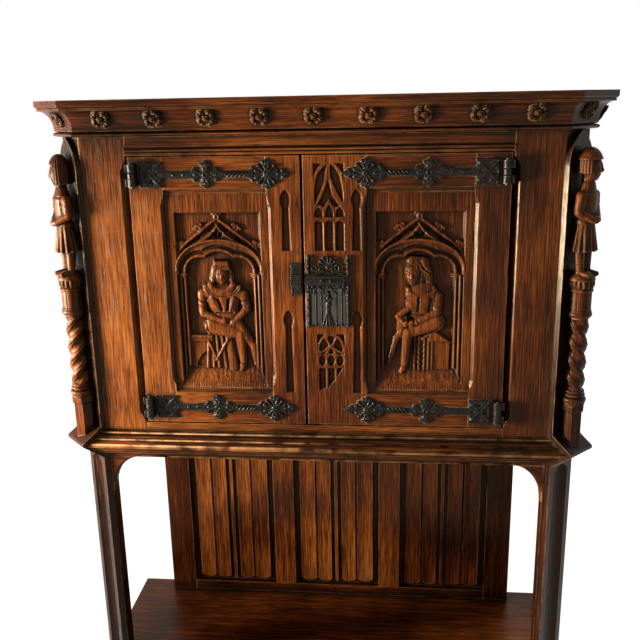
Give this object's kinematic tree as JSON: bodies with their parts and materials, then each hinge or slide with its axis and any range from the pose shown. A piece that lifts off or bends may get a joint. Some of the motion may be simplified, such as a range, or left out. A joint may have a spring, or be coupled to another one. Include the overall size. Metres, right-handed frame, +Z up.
{
  "type": "credence cabinet",
  "caption": "Gothic Revival oak cupboard with carved, iron-strapped doors on an open stand with a linenfold back and figures on its canted corners.",
  "frame": {"origin": "on the floor under the middle of the cabinet's overall box", "axes": "+Z up; +X to the right seen from the front; the doors face -Y"},
  "size_m": [1.358, 0.53, 1.67],
  "materials": {
    "oak": "dark waxed oak, worn lighter on the edges",
    "oak_carving": "waxed oak rubbed lighter on the high carving",
    "oak_inside": "dark unpolished oak",
    "iron": "forged iron, blackened, with worn grey highlights"
  },
  "bodies": {
    "cabinet": {"corner_post_left": "oak", "corner_post_right": "oak", "front_stile_left": "oak", "front_stile_right": "oak", "top_rail": "oak", "bottom_rail": "oak", "waist_front": "oak", "waist_side_left": "oak", "waist_side_right": "oak", "apron": "oak", "bracket_left": "oak", "bracket_right": "oak", "side_frame_left": "oak", "side_frame_right": "oak", "back_post_left": "oak", "back_post_right": "oak", "back_rails": "oak", "muntins": "oak", "top_board": "oak", "cornice": "oak", "capital_left": "oak", "capital_right": "oak", "column_left": "oak", "column_right": "oak", "pedestal_left": "oak", "pedestal_right": "oak", "platform": "oak", "plinth": "oak", "side_panel_left": "oak_carving", "side_panel_right": "oak_carving", "linenfold_left": "oak_carving", "linenfold_middle": "oak_carving", "linenfold_right": "oak_carving", "roses": "oak_carving", "figure_left": "oak_carving", "figure_right": "oak_carving", "door_stop": "oak_inside", "back_boards": "oak_inside", "cupboard_floor": "oak_inside", "cupboard_ceiling": "oak_inside", "shelf": "oak_inside", "shelf_cleats": "oak_inside", "hinge_leaves_left": "iron", "hinge_leaves_right": "iron", "hinge_pins": "iron"},
    "left_door": {"left_hinge_stile": "oak", "left_meeting_stile": "oak", "left_door_rails": "oak", "left_carved_panel": "oak", "left_seated_figure": "oak_carving", "left_straps": "iron", "keeper": "iron"},
    "right_door": {"right_hinge_stile": "oak", "lock_stile": "oak", "right_door_rails": "oak", "right_carved_panel": "oak", "right_seated_figure": "oak_carving", "right_straps": "iron", "lock_plate": "iron"},
    "bolt": {"bolt": "iron"}
  },
  "joints": [
    {"name": "left_door_hinge", "type": "hinge", "parent": "cabinet", "child": "left_door", "pos_m": [-0.434, -0.2215, 1.206], "axis": [0, 0, -1], "range_deg": [0, 110]},
    {"name": "right_door_hinge", "type": "hinge", "parent": "cabinet", "child": "right_door", "pos_m": [0.434, -0.2215, 1.206], "axis": [0, 0, 1], "range_deg": [0, 110]},
    {"name": "bolt_slide", "type": "slide", "parent": "right_door", "child": "bolt", "axis": [-1, 0, 0], "range_m": [0, 0.024]}
  ]
}
